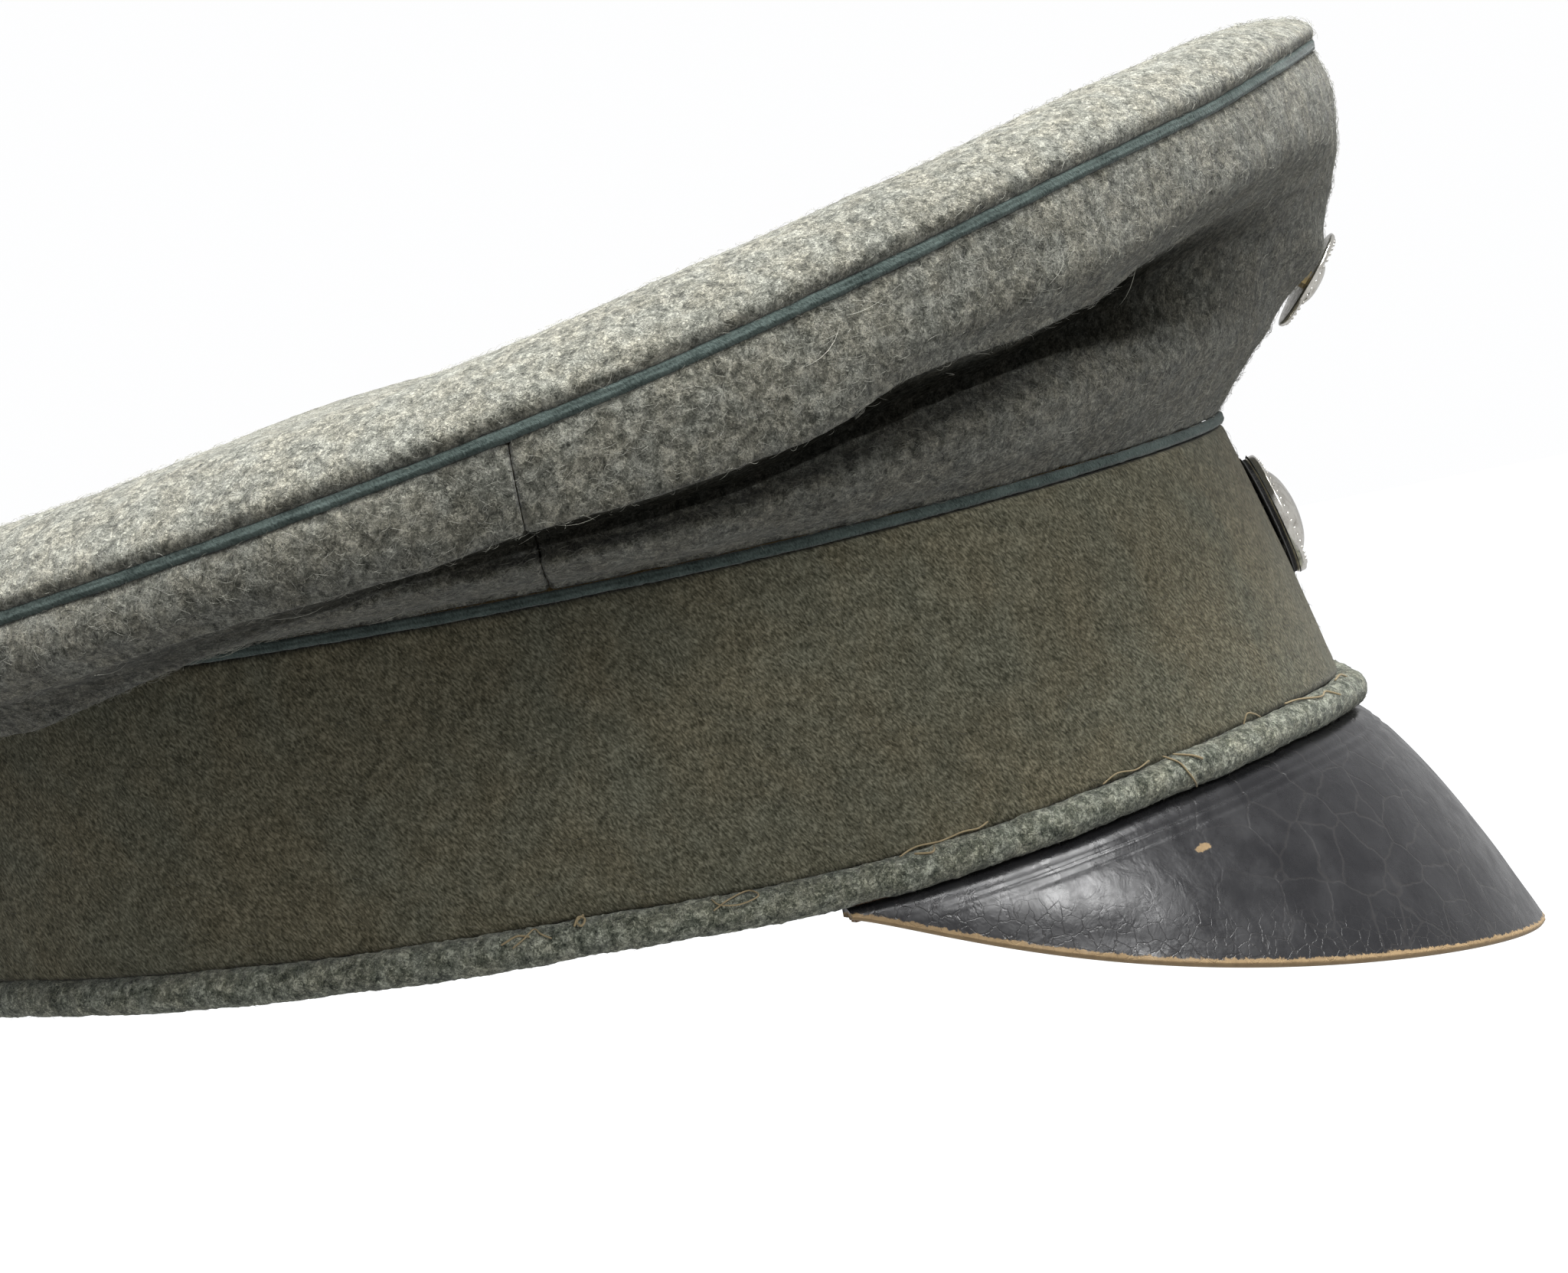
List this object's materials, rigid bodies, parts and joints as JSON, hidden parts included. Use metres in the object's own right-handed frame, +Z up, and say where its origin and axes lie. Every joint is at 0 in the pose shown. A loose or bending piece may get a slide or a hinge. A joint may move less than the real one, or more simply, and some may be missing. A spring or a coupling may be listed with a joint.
{
  "type": "peaked cap",
  "caption": "Soft officer's peaked cap in mottled wool with a flared tilted crown, dark cloth band, piping, a rolled lower edge, round badges and a steep lacquered leather peak.",
  "frame": {"origin": "centre of the head opening, level with its lower edge at the sides", "axes": "-Y is the wearer's front and the peak's side, +X the wearer's left, +Z up through the crown"},
  "size_m": [0.243, 0.2563, 0.1335],
  "materials": {
    "crown_cloth": "fulled mottled wool",
    "band_cloth": "dense dark fulled wool",
    "piping_cloth": "fine wool cord",
    "welt_cloth": "fulled mottled wool",
    "cotton_cord": "twisted cotton",
    "binding_tape": "woven tape",
    "stiffened_board": "pressed buckram",
    "wadding": "cotton wadding",
    "lining_cloth": "plain weave cotton sateen",
    "celluloid": "clear yellowed sheet",
    "spring_steel": "oiled",
    "badge_metal": "silvered, polished",
    "badge_felt": "black felt",
    "prong_metal": "dull",
    "sweat_leather": "smooth worn tan",
    "peak_lacquer": "cracked black lacquer",
    "peak_underside": "plain tan",
    "tan_thread": "waxed linen"
  },
  "bodies": {
    "cap": {"band_cloth": "band_cloth", "band_stiffener": "stiffened_board", "band_piping": "piping_cloth", "lower_welt": "welt_cloth", "welt_cord": "cotton_cord", "edge_binding": "binding_tape", "front_right_quarter": "crown_cloth", "rear_right_quarter": "crown_cloth", "rear_left_quarter": "crown_cloth", "front_left_quarter": "crown_cloth", "crown_piping": "piping_cloth", "top_panel": "crown_cloth", "crown_padding": "wadding", "crown_grommet": "spring_steel", "grommet_ferrule": "spring_steel", "front_stay": "spring_steel", "front_stay_pocket": "lining_cloth", "top_wadding": "wadding", "top_lining": "lining_cloth", "side_lining": "lining_cloth", "sweat_shield": "celluloid", "peak_leather": "peak_lacquer", "peak_lining": "peak_underside", "peak_stitches": "tan_thread", "basting_threads": "tan_thread", "lower_badge_felt": "badge_felt", "lower_badge": "badge_metal", "lower_badge_prongs": "prong_metal", "upper_badge": "badge_metal", "upper_badge_prongs": "prong_metal"},
    "sweatband": {"sweatband": "sweat_leather", "sweatband_join_tape": "sweat_leather", "sweatband_stitches": "tan_thread"}
  },
  "joints": [
    {"name": "sweatband_turn_down", "type": "slide", "parent": "cap", "child": "sweatband", "axis": [0, 0, -1], "range_m": [0, 0.036]}
  ]
}
